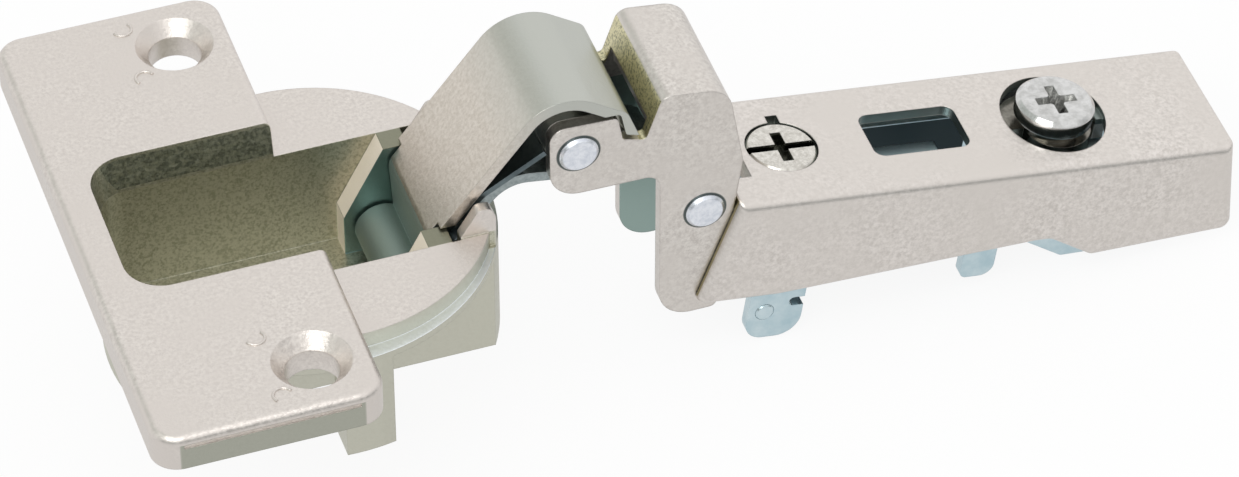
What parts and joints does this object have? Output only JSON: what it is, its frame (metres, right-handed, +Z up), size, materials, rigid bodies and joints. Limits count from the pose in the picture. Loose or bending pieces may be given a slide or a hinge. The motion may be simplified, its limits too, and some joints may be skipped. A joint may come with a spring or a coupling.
{
  "type": "concealed cabinet hinge",
  "caption": "Concealed cup hinge for thick doors, with screw-on flange, four-bar linkage and clip-on arm, shown fully open.",
  "frame": {"origin": "axis of the cup body at the door face, under the flange", "axes": "+X along the hinge from the cup to the arm, +Y along the hinge pins, +Z up out of the door"},
  "size_m": [0.1214, 0.0608, 0.0396],
  "materials": {
    "cup_nickel": "satin nickel plated die-cast zinc",
    "link_nickel": "satin nickel plated steel strip",
    "bracket_nickel": "satin nickel plated steel",
    "arm_nickel": "satin nickel plated steel",
    "inner_link_zinc": "zinc plated steel strip",
    "spring_steel": "dark tempered spring steel",
    "pin_steel": "ground steel",
    "rivet_zinc": "bright zinc plated steel",
    "clip_zinc": "blue passivated zinc plated steel",
    "screw_nickel": "nickel plated steel",
    "screw_chrome": "bright plated steel"
  },
  "bodies": {
    "cup": {"cup": "cup_nickel", "outer_link_pin": "pin_steel", "inner_link_pin": "pin_steel"},
    "outer_link": {"outer_link": "link_nickel", "closing_spring": "spring_steel"},
    "inner_link": {"inner_link": "inner_link_zinc", "inner_rivet_shank": "pin_steel"},
    "arm": {"arm": "arm_nickel", "pivot_bracket": "bracket_nickel", "outer_rivet": "rivet_zinc", "inner_rivet_heads": "rivet_zinc"},
    "side_screw": {"side_screw": "screw_nickel"},
    "clip": {"clip_frame": "clip_zinc", "front_pin": "clip_zinc", "latch_pin": "pin_steel", "latch_spring": "spring_steel"},
    "depth_screw": {"depth_screw": "screw_chrome", "depth_cam": "screw_chrome"},
    "latch": {"clip_latch": "clip_zinc"}
  },
  "joints": [
    {"name": "main_fold", "type": "hinge", "parent": "cup", "child": "outer_link", "pos_m": [0.0104, 0, -0.00985], "axis": [0, -1, 0], "range_deg": [0, 112.8]},
    {"name": "arm_pivot", "type": "hinge", "parent": "outer_link", "child": "arm", "pos_m": [0.02726, 0, 0.00608], "axis": [0, -1, 0], "range_deg": [-14.5, 0]},
    {"name": "inner_fold", "type": "hinge", "parent": "cup", "child": "inner_link", "pos_m": [0.01535, 0, -0.00475], "axis": [0, -1, 0], "range_deg": [0, 133.3]},
    {"name": "side_screw_turn", "type": "hinge", "parent": "arm", "child": "side_screw", "pos_m": [0.05105, 0, -0.00753], "axis": [0.1459, 0, 0.9893], "continuous": true},
    {"name": "clip_slide", "type": "slide", "parent": "arm", "child": "clip", "axis": [0.9893, 0, -0.1459], "range_m": [-0.0014, 0.0014]},
    {"name": "depth_screw_turn", "type": "hinge", "parent": "clip", "child": "depth_screw", "pos_m": [0.08083, 0, -0.01192], "axis": [0.1459, 0, 0.9893], "range_deg": [-151, 151]},
    {"name": "latch_swing", "type": "hinge", "parent": "clip", "child": "latch", "pos_m": [0.0902, 0, -0.01896], "axis": [0, -1, 0], "range_deg": [0, 14], "stiffness_Nm_per_rad": 0.01, "springref_deg": -28.65}
  ],
  "couplings": [
    {"joint": "arm_pivot", "follows": "main_fold", "ratio": -0.12775},
    {"joint": "inner_fold", "follows": "main_fold", "ratio": 1.1808},
    {"joint": "depth_screw_turn", "follows": "clip_slide", "rad_per_m": 1870}
  ]
}
